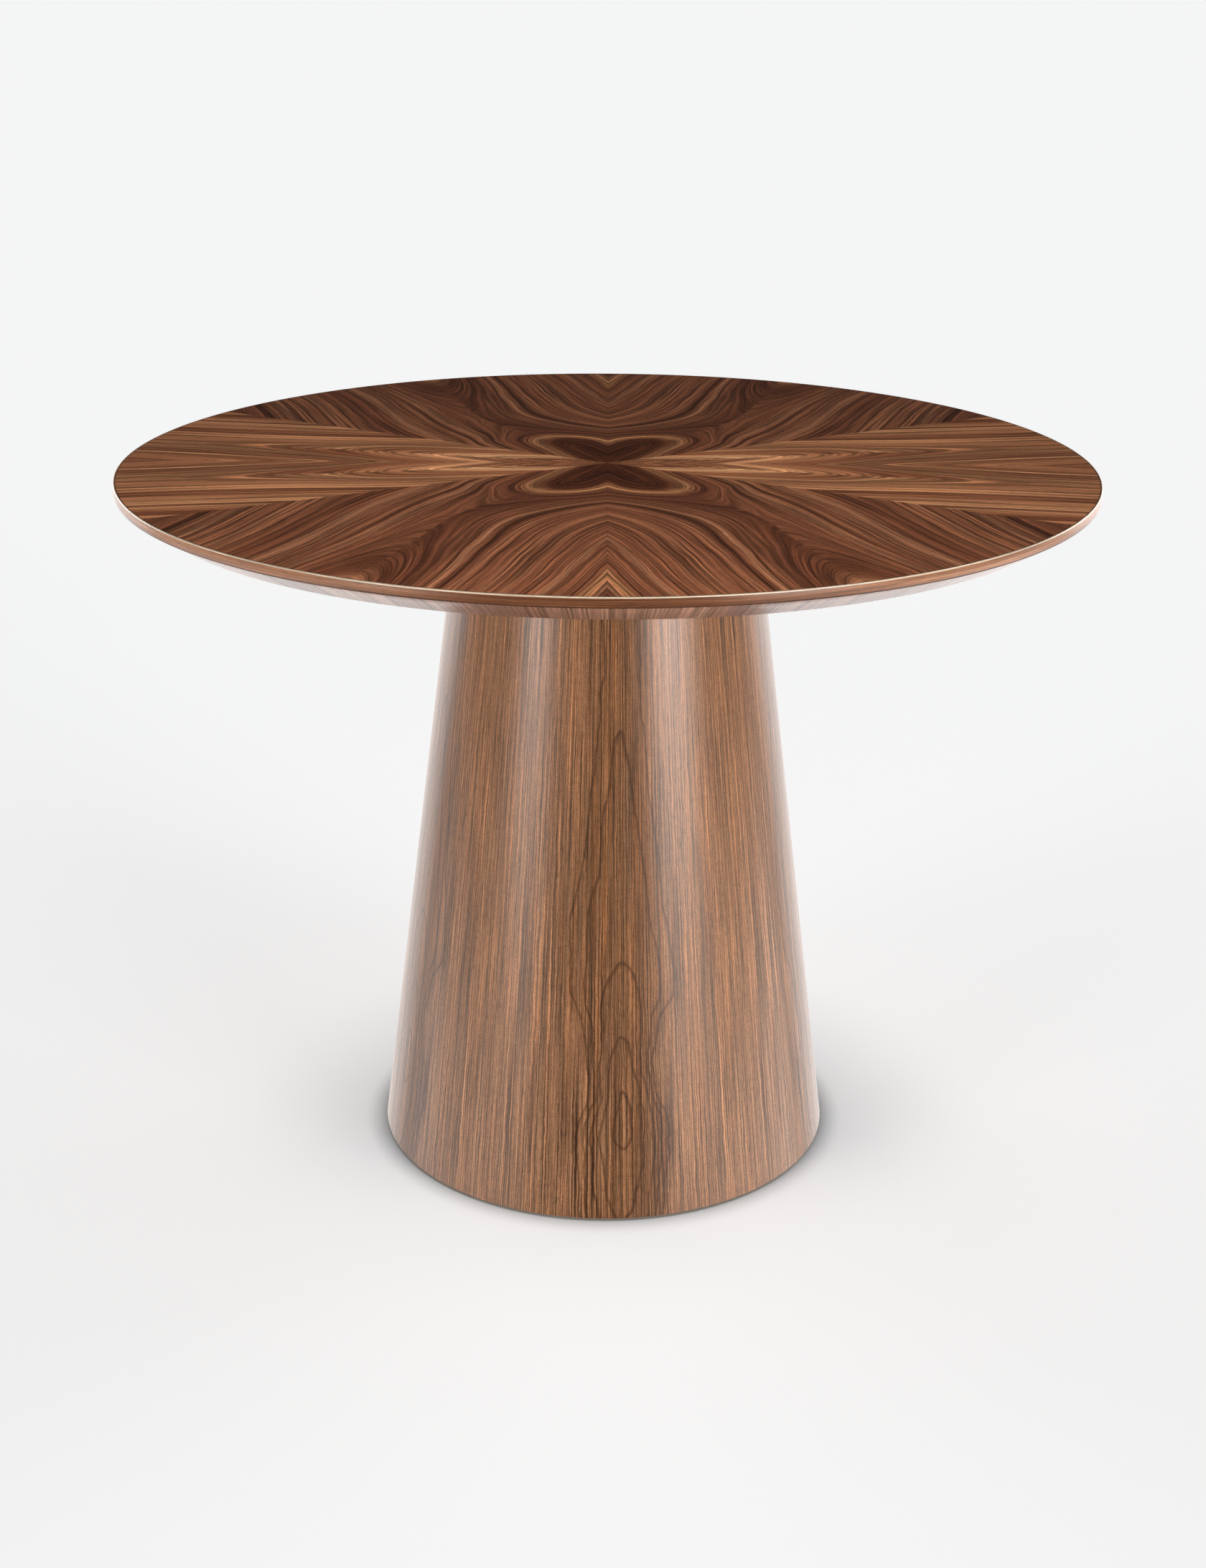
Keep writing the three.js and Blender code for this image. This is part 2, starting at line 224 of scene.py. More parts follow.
class Shader(Nodes):
    """One material: its nodes, and the surface that they end in."""

    def __init__(self, name, roughness, specular=0.5, metallic=0.0):
        self.material = bpy.data.materials.new(name)
        self.material.use_nodes = True
        super().__init__(self.material.node_tree)
        self.surface = self.tree.nodes["Principled BSDF"]
        self.surface.inputs["Roughness"].default_value = roughness
        self.surface.inputs["Specular IOR Level"].default_value = specular
        self.surface.inputs["Metallic"].default_value = metallic

    def grain(self):
        """The two grain coordinates of a veneered piece: along and across."""
        uv = self.add("ShaderNodeUVMap", uv_map="grain")
        return self.split(uv.outputs["UV"])[:2]

    def place(self):
        """The three coordinates of a piece in the table's frame."""
        spot = self.add("ShaderNodeTexCoord")
        return self.split(spot.outputs["Object"])

    def millimetres(self):
        """The same three coordinates, in millimetres."""
        return [self.scaled(value, 1000) for value in self.place()]

    def see_through_from_behind(self):
        """Lets views from under the surface look up through it."""
        behind = self.add("ShaderNodeNewGeometry").outputs["Backfacing"]
        clear = self.add("ShaderNodeBsdfTransparent")
        mixed = self.add("ShaderNodeMixShader")
        self.plug(behind, mixed.inputs[0])
        self.tree.links.new(self.surface.outputs[0], mixed.inputs[1])
        self.tree.links.new(clear.outputs[0], mixed.inputs[2])
        self.tree.links.new(mixed.outputs[0], self.tree.nodes["Material Output"].inputs["Surface"])

    def finish(self, colour, roughness=None, height=None, bump=0.1):
        """Gives the surface its colour, and its roughness and relief if it has any."""
        self.plug(colour, self.surface.inputs["Base Color"])
        if roughness is not None:
            self.plug(roughness, self.surface.inputs["Roughness"])
        if height is not None:
            node = self.add("ShaderNodeBump")
            node.inputs["Strength"].default_value = bump
            node.inputs["Distance"].default_value = 0.2 * MM
            self.plug(height, node.inputs["Height"])
            self.tree.links.new(node.outputs["Normal"], self.surface.inputs["Normal"])
        return self.material


# ---- Wood figure ------------------------------------------------------------------


def streaks(shader, along, across, length, width, seed, detail=3.0, spread=0.22):
    """Grain from 0 to 1: noise drawn out along the grain.

    A smaller spread gives harder edges.
    """
    x = shader.calc("DIVIDE", along, length)
    y = shader.calc("DIVIDE", across, width)
    value = shader.noise(x, y, seed, detail=detail, roughness=0.6)
    return shader.fade(value, 0.5 - spread, 0.5 + spread)


def growth_rings(shader, along, across, middle, depth):
    """How far inside the log each point of a slice lies.

    The heart of the log runs under the slice at the across position `middle`
    and at the given depth; both are curves over the length of the slice.  Equal
    values make the loops and cathedrals of a crown-cut veneer.
    """
    centre = shader.curve(along, middle)
    sunk = shader.curve(along, depth)
    aside = shader.calc("SUBTRACT", across, centre)
    square = shader.calc("MULTIPLY", aside, aside)
    distance = shader.calc("SQRT", shader.calc("MULTIPLY_ADD", sunk, sunk, square))
    return distance, aside


def wandering(shader, along, across, reach, seed):
    """The across coordinate, made to wander slowly as real grain does."""
    slow = shader.noise(shader.scaled(along, 4), shader.scaled(across, 9), seed, detail=2)
    quick = shader.noise(shader.scaled(along, 26), shader.scaled(across, 50), seed, detail=2)
    moved = shader.calc("ADD", across, shader.scaled(slow, reach, -reach / 2))
    return shader.calc("ADD", moved, shader.scaled(quick, reach / 6, -reach / 12))


def layered(shader, colour, along, across, *layers):
    """Shades a colour with streaks, one (length, width, contrast, seed) each layer."""
    for length, width, contrast, seed in layers:
        grain = streaks(shader, along, across, length, width, seed, spread=0.14)
        colour = shader.shade(colour, shader.scaled(grain, contrast, 1 - contrast / 2))
    return colour


def veneer_finish(shader, colour, fine, pores, contrast=1.0, gloss=0.28, richness=0.95):
    """Adds the fine grain, the open pores and a satin lacquer to a colour.

    Contrast is between the light and dark fine grain.  Richness is how far the
    lacquer darkens the bare wood.
    """
    open_pores = shader.fade(pores, 0.62, 0.85)
    light = shader.scaled(fine, contrast * richness, (1.03 - contrast / 2) * richness)
    light = shader.calc("SUBTRACT", light, shader.scaled(open_pores, 0.25 * richness))
    shaded = shader.shade(colour, light)
    roughness = shader.scaled(fine, -0.08, gloss + 0.04)
    height = shader.calc("SUBTRACT", fine, open_pores)
    return shader.finish(shaded, roughness, height, bump=0.05)


HEART = tone(66, 32, 16)
LINE = tone(58, 29, 16)
DARK = tone(88, 49, 31)
BROWN = tone(108, 64, 42)
WARM = tone(122, 76, 51)
PALE = tone(142, 94, 66)
GOLD = tone(162, 110, 72)


def dark_leaf_material():
    """The 60 degree leaves: a dark heart, golden loop and long cathedral lines."""
    s = Shader("dark_walnut_figure", roughness=0.3, specular=0.12)
    along, across = s.grain()
    moved = wandering(s, along, across, reach=0.012, seed=3.0)
    rings, aside = growth_rings(
        s,
        along,
        moved,
        middle=[
            (0, -0.02),
            (0.1, -0.025),
            (0.22, -0.025),
            (0.32, 0),
            (0.5, 0.024),
            (0.69, -0.01),
            (0.82, -0.04),
            (1, -0.07),
        ],
        depth=[
            (0, 0.03),
            (0.1, 0.034),
            (0.17, 0.037),
            (0.21, 0.044),
            (0.245, 0.059),
            (0.29, 0.086),
            (0.34, 0.115),
            (0.4, 0.13),
            (0.7, 0.13),
            (0.82, 0.117),
            (1, 0.087),
        ],
    )
    toward_middle = s.ramp(
        rings,
        [
            (0.0, HEART),
            (0.058, HEART),
            (0.068, DARK),
            (0.084, GOLD),
            (0.093, WARM),
            (0.106, DARK),
            (0.136, DARK),
            (0.152, BROWN),
            (0.168, BROWN),
            (0.175, PALE),
            (0.183, BROWN),
            (0.19, LINE),
            (0.2, BROWN),
            (0.209, WARM),
            (0.22, BROWN),
            (0.242, BROWN),
            (0.262, WARM),
            (0.276, BROWN),
            (0.287, WARM),
            (0.3, BROWN),
            (0.348, BROWN),
            (0.357, PALE),
            (0.368, BROWN),
            (0.398, BROWN),
            (0.412, DARK),
            (0.425, GOLD),
            (0.436, WARM),
            (0.444, PALE),
            (0.455, DARK),
            (0.5, BROWN),
        ],
    )
    toward_diagonal = s.ramp(
        rings,
        [
            (0.0, HEART),
            (0.058, HEART),
            (0.067, BROWN),
            (0.081, GOLD),
            (0.09, WARM),
            (0.1, DARK),
            (0.115, DARK),
            (0.13, BROWN),
            (0.152, BROWN),
            (0.166, PALE),
            (0.172, BROWN),
            (0.178, LINE),
            (0.184, WARM),
            (0.198, BROWN),
            (0.232, PALE),
            (0.24, BROWN),
            (0.272, DARK),
            (0.3, BROWN),
            (0.345, WARM),
            (0.353, PALE),
            (0.36, BROWN),
            (0.405, WARM),
            (0.417, LINE),
            (0.428, PALE),
            (0.445, DARK),
            (0.458, WARM),
            (0.474, LINE),
            (0.488, DARK),
            (0.5, BROWN),
        ],
    )
    colour = s.blend(s.fade(aside, -0.006, 0.006), toward_middle, toward_diagonal)
    signed = s.calc("MULTIPLY", rings, s.calc("SIGN", aside))
    broad = (0.9, 0.02, 0.3, 1.0)
    medium = (0.6, 0.009, 0.5, 2.0)
    narrow = (0.4, 0.0045, 0.9, 2.5)
    lined = layered(s, colour, along, signed, broad, medium, narrow)
    steepness = s.calc("DIVIDE", s.calc("ABSOLUTE", aside), rings)
    colour = s.blend(s.fade(steepness, 0.0, 0.5), colour, lined)
    fine = streaks(s, along, signed, length=0.3, width=0.002, seed=3.0)
    pores = streaks(s, along, moved, length=0.02, width=0.0018, seed=4.0, detail=1)
    return veneer_finish(s, colour, fine, pores)


def golden_leaf_material():
    """The 30 degree leaves: a brown eye edged in bright gold, then even streaks."""
    s = Shader("golden_walnut_figure", roughness=0.3, specular=0.12)
    along, across = s.grain()
    moved = wandering(s, along, across, reach=0.008, seed=7.0)
    rings, aside = growth_rings(
        s,
        along,
        moved,
        middle=[(0, 0), (0.2, -0.02), (0.5, -0.03), (0.66, -0.045), (1, -0.075)],
        depth=[(0, 0.03), (0.18, 0.043), (0.29, 0.054), (0.44, 0.07), (0.6, 0.095), (1, 0.11)],
    )
    bright = tone(214, 162, 116)
    gold = tone(176, 122, 84)
    warm = tone(150, 98, 66)
    brown = tone(134, 84, 55)
    dark = tone(104, 60, 38)
    toward_middle = s.ramp(
        rings,
        [
            (0.0, brown),
            (0.052, brown),
            (0.06, gold),
            (0.066, gold),
            (0.074, warm),
            (0.095, dark),
            (0.106, brown),
            (0.112, gold),
            (0.12, brown),
            (0.128, warm),
            (0.138, dark),
            (0.145, gold),
            (0.156, brown),
            (0.185, warm),
            (0.198, brown),
            (0.25, brown),
        ],
    )
    toward_diagonal = s.ramp(
        rings,
        [
            (0.0, brown),
            (0.041, brown),
            (0.047, gold),
            (0.053, bright),
            (0.058, gold),
            (0.068, brown),
            (0.084, brown),
            (0.094, gold),
            (0.106, warm),
            (0.124, warm),
            (0.133, gold),
            (0.141, brown),
            (0.148, gold),
            (0.16, dark),
            (0.182, brown),
            (0.2, warm),
            (0.238, gold),
            (0.253, dark),
            (0.268, gold),
            (0.28, brown),
            (0.3, dark),
            (0.315, dark),
            (0.33, warm),
        ],
    )
    colour = s.blend(s.fade(aside, -0.006, 0.006), toward_middle, toward_diagonal)
    signed = s.calc("MULTIPLY", rings, s.calc("SIGN", aside))
    broad = (1.2, 0.016, 0.3, 5.0)
    medium = (0.9, 0.009, 0.5, 6.0)
    narrow = (0.6, 0.0045, 0.9, 6.5)
    colour = layered(s, colour, along, signed, broad, medium, narrow)
    fine = streaks(s, along, signed, length=0.4, width=0.002, seed=7.0)
    pores = streaks(s, along, moved, length=0.02, width=0.0018, seed=8.0, detail=1)
    return veneer_finish(s, colour, fine, pores)


def pedestal_material():
    """Flat-cut veneer: one flame up the middle of each leaf, straight grain beside.

    The grain map gives the height up the leaf, 0 to 1, and the angle from its middle.
    """
    flame_reach = 26.0
    s = Shader("pedestal_walnut_figure", roughness=0.3, specular=0.5)
    height, angle = s.grain()
    sway = s.noise(s.scaled(height, 5), 0.5, 4.0, detail=1)
    wobble = s.noise(s.scaled(height, 14), s.scaled(angle, 0.12), 2.0, detail=3)
    tremble = s.noise(s.scaled(height, 26), s.scaled(angle, 0.35), 5.0, detail=3)
    shaken = s.calc("ADD", angle, s.scaled(tremble, 0.8, -0.4))
    aside = s.calc("ADD", shaken, s.scaled(wobble, 4.0, -2.0))
    aside = s.calc("ADD", aside, s.scaled(sway, 4.0, -0.5))
    rise = s.curve(
        height,
        [(0, 0.7), (0.11, 0.88), (0.14, 0.91), (0.28, 0.7), (0.39, 0.5), (0.72, 0.3), (1, 0.12)],
    )
    width = s.curve(
        height,
        [
            (0, 0.5),
            (0.15, 0.48),
            (0.2, 0.38),
            (0.29, 0.5),
            (0.4, 0.9),
            (0.55, 0.8),
            (0.72, 0.62),
            (1, 1),
        ],
    )
    spread = s.calc("DIVIDE", aside, s.scaled(width, flame_reach))
    flame = s.calc("SUBTRACT", rise, s.calc("MULTIPLY", spread, spread))
    inside = s.fade(flame, -0.35, 0.2)
    body = s.blend(inside, tone(147, 98, 63), tone(125, 78, 42))
    broad = (0.9, 3.0, 0.25, 8.0)
    medium = (0.6, 0.8, 0.35, 9.0)
    narrow = (0.5, 0.34, 0.85, 9.5)
    dashes = (0.07, 0.26, 0.5, 9.8)
    colour = layered(s, body, height, shaken, broad, medium, narrow, dashes)
    pale_lines = streaks(s, height, shaken, length=0.35, width=0.3, seed=9.9, spread=0.12)
    colour = s.blend(s.scaled(pale_lines, 0.3), colour, tone(178, 141, 109))
    steepness = s.calc("DIVIDE", s.calc("ABSOLUTE", spread), width)
    steepness = s.scaled(steepness, 2 / flame_reach, 0.012)
    for level in (0.1, 0.3, 0.5, 0.7, 0.88):
        gap = s.calc("DIVIDE", s.calc("SUBTRACT", flame, level), steepness)
        line = s.calc("MULTIPLY", s.fade(gap, -0.25, 0.0), s.fade(gap, 0.7, 0.0))
        colour = s.blend(s.calc("MULTIPLY", line, 0.7), colour, tone(74, 44, 25))
    fine = streaks(s, height, shaken, length=0.25, width=0.3, seed=10.0)
    pores = streaks(s, height, angle, length=0.02, width=0.22, seed=11.0, detail=1)
    mottle = s.noise(s.scaled(height, 110), s.scaled(angle, 0.6), 12.0, detail=3)
    colour = s.shade(colour, s.scaled(s.fade(mottle, 0.3, 0.7), 0.16, 0.92))
    flecks = s.noise(s.scaled(height, 400), s.scaled(angle, 2.0), 13.0, detail=1)
    colour = s.shade(colour, s.scaled(s.fade(flecks, 0.3, 0.7), 0.3, 0.85))
    return veneer_finish(s, colour, fine, pores, contrast=1.5, gloss=0.3, richness=0.89)


def undercut_material():
    """Veneer on the undercut: narrow strips whose grain runs to the centre."""
    s = Shader("undercut_walnut", roughness=0.45, specular=0.3)
    out, angle = s.grain()
    strip = s.calc("FLOOR", s.calc("DIVIDE", angle, 8.0))
    strip_tone = s.noise(s.scaled(strip, 3.7), 0.5, 12.0, detail=0)
    fine = streaks(s, out, angle, length=0.3, width=0.18, seed=13.0, detail=4)
    pores = streaks(s, out, angle, length=0.05, width=0.12, seed=14.0, detail=1)
    body = s.blend(s.fade(strip_tone, 0.3, 0.7), tone(128, 88, 70), tone(156, 116, 96))
    body = layered(s, body, out, angle, (0.3, 0.5, 0.4, 13.5), (0.2, 0.22, 0.4, 13.8))
    return veneer_finish(s, body, fine, pores)


def edge_band_material():
    """Solid walnut with the grain running round the circumference, and painted light: lighter away
    from the front, shade along the lower edge and at the joint with the face veneer, and a
    highlight on the top arris.
    """
    s = Shader("edge_band_walnut", roughness=0.35, specular=0.5)
    along, across = s.grain()
    broad = streaks(s, along, across, length=30.0, width=2 * MM, seed=15.0)
    fine = streaks(s, along, across, length=12.0, width=0.5 * MM, seed=16.0, detail=4)
    pores = streaks(s, along, across, length=1.5, width=0.4 * MM, seed=17.0, detail=1)
    # Painted light: the band is painted darker near the front and lighter away from it, as if the
    # side lamps lit it.
    front = s.ramp(broad, [(0.3, tone(106, 62, 36)), (0.7, tone(134, 84, 52))])
    painted_side_light = s.ramp(broad, [(0.3, tone(154, 100, 64)), (0.7, tone(186, 128, 88))])
    off_front = s.calc("ABSOLUTE", s.scaled(along, 1, 90))
    body = s.blend(s.fade(off_front, 8, 42), front, painted_side_light)
    # Painted shade along the band's lower edge, above the undercut.
    foot = BAND_BOTTOM - TOP_RADIUS
    shaded = s.fade(across, foot + 1.8 * MM, foot + 0.6 * MM)
    body = s.blend(s.calc("MULTIPLY", shaded, 0.75), body, tone(66, 36, 22))
    # A painted highlight along the rounded top arris.
    arris = TOP_FACE - TOP_RADIUS
    wear_and_highlight = s.fade(s.calc("ABSOLUTE", s.scaled(across, 1, -arris)), 1.6 * MM, 0.8 * MM)
    body = s.blend(s.calc("MULTIPLY", wear_and_highlight, 0.9), body, tone(250, 228, 200))
    # Painted shade on the inner edge of the band's top, in the gap beside the face veneer.
    joint_shade = s.fade(across, arris + 1.5 * MM, arris + 1.8 * MM)
    body = s.blend(joint_shade, body, tone(52, 28, 18))
    return veneer_finish(s, body, fine, pores)


def plain_veneer_material():
    """Backing veneer under the top: straight quiet grain along X."""
    s = Shader("backing_walnut", roughness=0.55, specular=0.3)
    x, y = s.place()[:2]
    broad = streaks(s, x, y, length=1.0, width=0.03, seed=18.0)
    fine = streaks(s, x, y, length=0.25, width=0.003, seed=19.0, detail=4)
    pores = streaks(s, x, y, length=0.02, width=0.0014, seed=20.0, detail=1)
    body = s.ramp(broad, [(0.3, tone(112, 74, 54)), (0.7, tone(146, 104, 80))])
    return veneer_finish(s, body, fine, pores)


def fibreboard_material():
    """Pale brown pressed fibre, mottled, with a fuzz of short fibres."""
    s = Shader("fibreboard_mdf", roughness=0.8, specular=0.3)
    x, y, z = s.millimetres()
    fibres = s.noise(s.scaled(x, 1.3), s.scaled(y, 1.3), s.scaled(z, 3.0), detail=4)
    cloud = s.noise(s.scaled(x, 0.05), s.scaled(y, 0.05), s.scaled(z, 0.05), detail=2)
    body = s.ramp(fibres, [(0.35, tone(142, 112, 82)), (0.65, tone(172, 142, 108))])
    body = s.shade(body, s.scaled(cloud, 0.3, 0.85))
    return s.finish(body, s.scaled(fibres, 0.1, 0.72), fibres, bump=0.2)


def plywood_material():
    """Birch plywood: plies stacked along Z, end grain dark and long grain pale."""
    s = Shader("birch_plywood", roughness=0.65, specular=0.3)
    ply = 1.4
    pale = tone(214, 188, 146)
    dark = tone(186, 154, 112)
    x, y, z = s.millimetres()
    layer = s.calc("PINGPONG", s.calc("ADD", z, s.noise(s.scaled(x, 0.02), 0.5)), ply)
    glue = s.fade(layer, 0.16, 0.04)
    grain = s.noise(s.scaled(x, 0.03), s.scaled(y, 0.7), s.scaled(z, 0.7), detail=4)
    knots = s.noise(s.scaled(x, 0.01), s.scaled(y, 0.02), s.scaled(z, 0.02), detail=2)
    body = s.ramp(grain, [(0.3, dark), (0.7, pale)])
    body = s.shade(body, s.scaled(knots, 0.3, 0.85))
    body = s.blend(s.scaled(glue, 0.55), body, tone(96, 66, 44))
    return s.finish(body, s.scaled(grain, 0.15, 0.55), grain, bump=0.15)


def bent_panel_material():
    """Bent poplar plywood: vertical grain on the face, plies across the thickness."""
    s = Shader("bent_plywood", roughness=0.65, specular=0.3)
    x, y, z = s.millimetres()
    ply = 1.5
    mean_radius = 200.0
    turn = s.scaled(s.calc("ARCTAN2", y, x), mean_radius)
    distance = s.calc("SQRT", s.calc("MULTIPLY_ADD", x, x, s.calc("MULTIPLY", y, y)))
    depth = s.calc("ADD", distance, s.scaled(z, CONE_SLOPE))
    layer = s.calc("PINGPONG", depth, ply)
    glue = s.fade(layer, 0.16, 0.04)
    grain = s.noise(s.scaled(turn, 0.6), s.scaled(z, 0.02), s.scaled(depth, 0.5), detail=4)
    body = s.ramp(grain, [(0.3, tone(178, 144, 104)), (0.7, tone(208, 178, 138))])
    body = s.blend(s.scaled(glue, 0.5), body, tone(110, 78, 52))
    return s.finish(body, s.scaled(grain, 0.15, 0.55), grain, bump=0.15)


def zinc_material():
    """Bright zinc plating on steel: cloudy passivation and fine turning marks."""
    s = Shader("zinc_plated_steel", roughness=0.32, metallic=1.0)
    x, y, z = s.millimetres()
    cloud = s.noise(s.scaled(x, 0.3), s.scaled(y, 0.3), s.scaled(z, 0.3), detail=3)
    marks = s.noise(s.scaled(x, 0.4), s.scaled(y, 0.4), s.scaled(z, 14.0), detail=2)
    body = s.ramp(cloud, [(0.3, tone(186, 190, 196)), (0.7, tone(212, 210, 198))])
    return s.finish(body, s.scaled(cloud, 0.2, 0.24), marks, bump=0.05)


def brass_material():
    """Turned brass, a little tarnished in patches."""
    s = Shader("turned_brass", roughness=0.35, metallic=1.0)
    x, y, z = s.millimetres()
    tarnish = s.noise(s.scaled(x, 0.35), s.scaled(y, 0.35), s.scaled(z, 0.35), detail=3)
    marks = s.noise(s.scaled(x, 0.4), s.scaled(y, 0.4), s.scaled(z, 12.0), detail=2)
    body = s.ramp(tarnish, [(0.3, tone(196, 158, 88)), (0.7, tone(168, 124, 66))])
    return s.finish(body, s.scaled(tarnish, 0.25, 0.25), marks, bump=0.05)


def nylon_material():
    """Black glass-filled nylon with a fine moulded texture, scuffed underneath."""
    s = Shader("black_nylon", roughness=0.5, specular=0.4)
    x, y, z = s.millimetres()
    spark = s.noise(s.scaled(x, 3), s.scaled(y, 3), s.scaled(z, 3), detail=2)
    scuffs = s.noise(s.scaled(x, 0.2), s.scaled(y, 1.6), s.scaled(z, 0.5), detail=4)
    wear_and_highlight = s.calc("MULTIPLY", s.fade(z, 0.4, 0.0), s.fade(scuffs, 0.5, 0.7))
    body = s.blend(s.scaled(wear_and_highlight, 0.6), tone(34, 34, 36), tone(88, 86, 84))
    return s.finish(body, s.scaled(wear_and_highlight, 0.25, 0.48), spark, bump=0.15)


# ---- Mesh building -------------------------------------------------------------------


def to_object(name, bm, smooth=True):
    """Turns a bmesh into a clean object with outward faces."""
    bmesh.ops.remove_doubles(bm, verts=bm.verts, dist=1e-7)
    bmesh.ops.recalc_face_normals(bm, faces=bm.faces)
    for face in bm.faces:
        face.smooth = smooth
    for edge in bm.edges:
        if len(edge.link_faces) == 2:
            edge.smooth = edge.calc_face_angle(0) < math.radians(CREASE)
    mesh = bpy.data.meshes.new(name)
    bm.to_mesh(mesh)
    bm.free()
    piece = bpy.data.objects.new(name, mesh)
    bpy.context.scene.collection.objects.link(piece)
    return piece


def lay_grain(bm, coordinates):
    """Writes the grain map: along and across the grain, face corner by face corner.

    `coordinates` takes a point and the middle of its face.
    """
    layer = bm.loops.layers.uv.new("grain")
    for face in bm.faces:
        middle = face.calc_center_median()
        for loop in face.loops:
            loop[layer].uv = coordinates(loop.vert.co, middle)


def on_axis(radius, height, angle):
    """A point at a radius and height, turned by an angle in radians."""
    return (radius * math.cos(angle), radius * math.sin(angle), height)


def bearing_of(point):
    return math.degrees(math.atan2(point.y, point.x))


def bearing_beside(point, middle):
    """The bearing of a point, on the same lap as the middle of its face."""
    own = bearing_of(point)
    return own + 360 * round((bearing_of(middle) - own) / 360)


def revolved(outline, start=0.0, sweep=360.0):
    """Turns a closed outline of (radius, height) points about the table's axis."""
    bm = bmesh.new()
    whole = sweep == 360
    count = round(sweep / FINE_STEP)
    rows = []
    for i in range(count if whole else count + 1):
        angle = math.radians(start + sweep * i / count)
        row = [bm.verts.new(on_axis(r, z, angle)) for r, z in outline]
        rows.append(row)
    for i in range(count):
        here = rows[i]
        there = rows[(i + 1) % len(rows)]
        for j in range(len(outline)):
            k = (j + 1) % len(outline)
            bm.faces.new((here[j], there[j], there[k], here[k]))
    if not whole:
        bm.faces.new(rows[0])
        bm.faces.new(list(reversed(rows[-1])))
    return bm


def arc(centre, radius, start, end, steps=5):
    """Points of (radius, height) round a centre, angles in degrees from outward."""
    points = []
    for i in range(steps + 1):
        angle = math.radians(start + (end - start) * i / steps)
        points.append((centre[0] + radius * math.cos(angle), centre[1] + radius * math.sin(angle)))
    return points


def show(piece, body, material, slot, *replaced):
    """Puts a finished piece on its body in place of its CAD nodes."""
    piece.data.materials.append(material)
    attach(piece, body)
    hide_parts(*replaced)
    return piece


# ---- The top -------------------------------------------------------------------------


def top_leaf(name, start, sweep, mirrored):
    """One flat sector of face veneer, with its tip at the centre of the table."""
    bm = bmesh.new()
    half = sweep / 2
    bisector = math.radians(start + half)
    tip = SEAM / 2 / math.sin(math.radians(half))
    inset = math.degrees(SEAM / 2 / LEAF_RADIUS)
    outline = [(tip * math.cos(bisector), tip * math.sin(bisector))]
    steps = round(sweep / FINE_STEP)
    for i in range(steps + 1):
        angle = math.radians(start + inset + (sweep - 2 * inset) * i / steps)
        outline.append((LEAF_RADIUS * math.cos(angle), LEAF_RADIUS * math.sin(angle)))
    bottom = [bm.verts.new((x, y, LEAF_BOTTOM)) for x, y in outline]
    top = [bm.verts.new((x, y, TOP_FACE)) for x, y in outline]
    bm.faces.new(top)
    bm.faces.new(list(reversed(bottom)))
    for i in range(len(outline)):
        k = (i + 1) % len(outline)
        bm.faces.new((bottom[i], bottom[k], top[k], top[i]))
    side = -1 if mirrored else 1

    def grain(point, middle):
        along = point.x * math.cos(bisector) + point.y * math.sin(bisector)
        across = point.y * math.cos(bisector) - point.x * math.sin(bisector)
        return along / TOP_RADIUS, side * across / TOP_RADIUS

    lay_grain(bm, grain)
    return to_object(name, bm, smooth=False)


def edge_band():
    """The solid lipping, with its arrises eased so that they catch the light."""
    inner = LEAF_RADIUS + 0.3 * MM
    eased = 0.8 * MM
    bottom_eased = 0.4 * MM
    outline = [(inner, BAND_BOTTOM)]
    outline += arc((TOP_RADIUS - bottom_eased, BAND_BOTTOM + bottom_eased), bottom_eased, -90, 0)
    outline += arc((TOP_RADIUS - eased, TOP_FACE - eased), eased, 0, 90)
    outline += arc((inner + 0.2 * MM, TOP_FACE - 0.2 * MM), 0.2 * MM, 90, 180, 3)
    bm = revolved(outline)

    def grain(point, middle):
        return bearing_beside(point, middle), point.z - math.hypot(point.x, point.y)

    lay_grain(bm, grain)
    return to_object("edge_band_eased", bm)


def undercut_sheet(name, start, sweep):
    """Veneer on the sloping edge under the top, one sheet of the ring."""
    slope = (TOP_RADIUS - UNDERSIDE_RADIUS) / (UNDERCUT_TOP - UNDERSIDE)
    thick = VENEER * math.hypot(1, slope)
    eased = 0.5 * MM
    outline = [
        (UNDERSIDE_RADIUS - thick, UNDERSIDE),
        (UNDERSIDE_RADIUS, UNDERSIDE),
        (TOP_RADIUS - eased * slope, UNDERCUT_TOP - eased),
        (TOP_RADIUS - eased * 0.55, UNDERCUT_TOP - eased * 0.22),
        (TOP_RADIUS - eased, UNDERCUT_TOP),
        (TOP_RADIUS - thick, UNDERCUT_TOP),
    ]
    inset = math.degrees(SEAM / 2 / TOP_RADIUS)
    bm = revolved(outline, start + inset, sweep - 2 * inset)

    def grain(point, middle):
        return math.hypot(point.x, point.y), bearing_beside(point, middle)

    lay_grain(bm, grain)
    return to_object(name, bm)


def build_top(dark, golden, band, undercut):
    """Builds the top from its four materials and gives back the leaves of its face."""
    face = []
    for place, start in DARK_LEAVES.items():
        mirrored = place in ("back_right", "front_left")
        leaf = top_leaf(f"face_veneer_{place}", start, DARK_SWEEP, mirrored)
        face.append(show(leaf, "table", dark, "dark_walnut", f"top_leaf_{place}"))
    for place, start in GOLDEN_LEAVES.items():
        mirrored = place in ("left_back", "right_front")
        leaf = top_leaf(f"face_veneer_{place}", start, GOLDEN_SWEEP, mirrored)
        face.append(show(leaf, "table", golden, "golden_walnut", f"top_leaf_{place}"))
    show(edge_band(), "table", band, "solid_walnut", "edge_band")
    sweep = 360 / UNDERCUT_SHEETS
    for i in range(UNDERCUT_SHEETS):
        sheet = undercut_sheet(f"undercut_veneer_{i + 1}", i * sweep, sweep)
        show(sheet, "table", undercut, "undercut_walnut", f"undercut_sheet_{i + 1}")
    return face


# ---- The pedestal -----------------------------------------------------------------------


